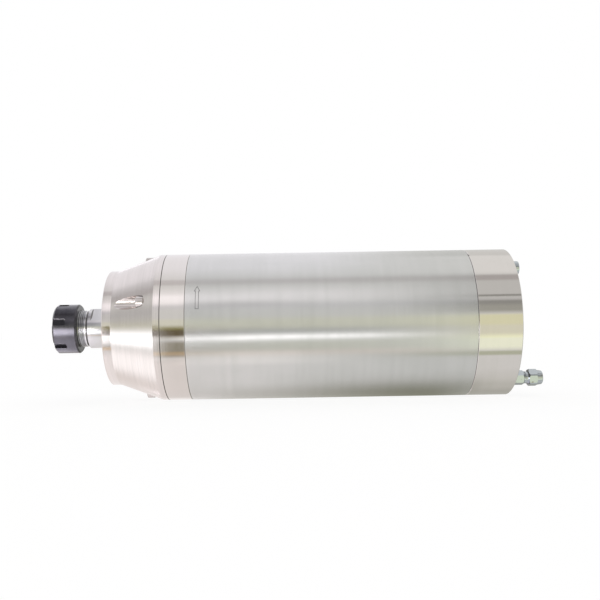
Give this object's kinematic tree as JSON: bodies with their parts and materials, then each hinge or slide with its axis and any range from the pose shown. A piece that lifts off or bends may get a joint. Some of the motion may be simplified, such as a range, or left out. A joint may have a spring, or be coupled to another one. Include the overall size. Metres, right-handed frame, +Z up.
{
  "type": "motor spindle",
  "caption": "Water-cooled milling motor spindle with a collet chuck, conical nose, round steel jacket and rear hose and power connections.",
  "frame": {"origin": "on the spindle axis at the mouth of the tool collet", "axes": "+X runs back along the spindle axis to the hose and power connections, +Z is up, -Y faces the camera"},
  "size_m": [0.4117, 0.125, 0.125],
  "materials": {
    "black_oxide_steel": "hardened steel, black oxide, slightly glossy with worn slot edges",
    "ground_steel": "hardened steel, turned and ground bright",
    "bearing_steel": "hardened and ground bearing steel",
    "cage_resin": "brown fabric-filled phenolic resin",
    "polished_steel": "stainless steel, turned and polished, reflects warm tones",
    "brushed_cone_steel": "stainless steel, fine turning marks round the axis, satin",
    "satin_jacket_steel": "stainless steel tube, satin, slightly cool grey",
    "bright_screw_steel": "bright stainless socket screws",
    "sleeve_aluminium": "machined aluminium alloy",
    "cast_cage_aluminium": "pressure-cast aluminium",
    "lamination_steel": "stacked electrical steel sheet with a dull blue-grey coat",
    "winding_copper": "enamelled copper wire, varnished",
    "black_rubber": "black nitrile rubber, matt",
    "plated_brass": "brass with bright bluish-white plating",
    "bare_brass": "bare turned brass",
    "plated_shell": "die-cast shell, satin nickel plate",
    "black_plastic": "black glass-filled plastic",
    "lead_insulation": "red-brown silicone insulation, matt",
    "contact_gold": "gold-plated contact pins"
  },
  "bodies": {
    "housing": {"front_outer_rings": "bearing_steel", "front_outer_spacer": "bearing_steel", "front_bearing_housing": "polished_steel", "front_housing_screws": "bright_screw_steel", "nose_cone": "brushed_cone_steel", "nose_screws": "bright_screw_steel", "front_cover": "ground_steel", "front_cover_screws": "bright_screw_steel", "jacket": "satin_jacket_steel", "jacket_o_rings": "black_rubber", "cooling_sleeve": "sleeve_aluminium", "stator_core": "lamination_steel", "stator_windings": "winding_copper", "rear_bearing_housing": "sleeve_aluminium", "rear_bearing_sleeve": "bearing_steel", "preload_springs": "bearing_steel", "rear_outer_rings": "bearing_steel", "rear_outer_spacer": "bearing_steel", "rear_cap": "polished_steel", "rear_cap_screws": "bright_screw_steel", "port_seals": "black_rubber", "port_washers": "black_rubber", "inlet_body": "plated_brass", "outlet_body": "plated_brass", "socket_gasket": "black_rubber", "socket_shell": "plated_shell", "socket_insert": "black_plastic", "socket_pins": "contact_gold", "socket_screws": "bright_screw_steel", "motor_leads": "lead_insulation"},
    "rotor": {"spindle_shaft": "ground_steel", "labyrinth_nut": "ground_steel", "front_inner_rings": "bearing_steel", "front_inner_spacer": "bearing_steel", "rotor_core": "lamination_steel", "rotor_cage": "cast_cage_aluminium", "rear_inner_rings": "bearing_steel", "rear_inner_spacer": "bearing_steel", "rear_lock_nut": "ground_steel"},
    "front_ball_set": {"front_balls": "bearing_steel", "front_cages": "cage_resin"},
    "rear_ball_set": {"rear_balls": "bearing_steel", "rear_cages": "cage_resin"},
    "collet": {"collet": "ground_steel"},
    "collet_nut": {"collet_nut": "black_oxide_steel", "nut_ring": "ground_steel"},
    "inlet_ferrule": {"inlet_ferrule": "bare_brass"},
    "inlet_nut": {"inlet_nut": "plated_brass"},
    "outlet_cap": {"outlet_cap": "plated_brass"}
  },
  "joints": [
    {"name": "rotor_spin", "type": "hinge", "parent": "housing", "child": "rotor", "pos_m": [0, 0, 0], "axis": [-1, 0, 0], "continuous": true},
    {"name": "front_balls_orbit", "type": "hinge", "parent": "housing", "child": "front_ball_set", "pos_m": [0.076, 0, 0], "axis": [-1, 0, 0], "continuous": true},
    {"name": "rear_balls_orbit", "type": "hinge", "parent": "housing", "child": "rear_ball_set", "pos_m": [0.335, 0, 0], "axis": [-1, 0, 0], "continuous": true},
    {"name": "collet_draw", "type": "slide", "parent": "rotor", "child": "collet", "axis": [-1, 0, 0], "range_m": [0, 0.012]},
    {"name": "collet_nut_turn", "type": "hinge", "parent": "collet", "child": "collet_nut", "pos_m": [0.01, 0, 0], "axis": [-1, 0, 0], "range_deg": [0, 2880]},
    {"name": "inlet_ferrule_slide", "type": "slide", "parent": "housing", "child": "inlet_ferrule", "axis": [1, 0, 0], "range_m": [-0.002, 0.004]},
    {"name": "inlet_nut_turn", "type": "hinge", "parent": "inlet_ferrule", "child": "inlet_nut", "pos_m": [0.4058, -0.01702, -0.04729], "axis": [1, 0, 0], "range_deg": [-720, 1440]},
    {"name": "outlet_cap_pull", "type": "slide", "parent": "housing", "child": "outlet_cap", "axis": [1, 0, 0], "range_m": [0, 0.009]}
  ],
  "couplings": [
    {"joint": "front_balls_orbit", "follows": "rotor_spin", "ratio": 0.42095},
    {"joint": "rear_balls_orbit", "follows": "rotor_spin", "ratio": 0.41485},
    {"joint": "collet_draw", "follows": "collet_nut_turn", "m_per_rad": 0.00023873},
    {"joint": "inlet_ferrule_slide", "follows": "inlet_nut_turn", "m_per_rad": 0.00015915}
  ]
}
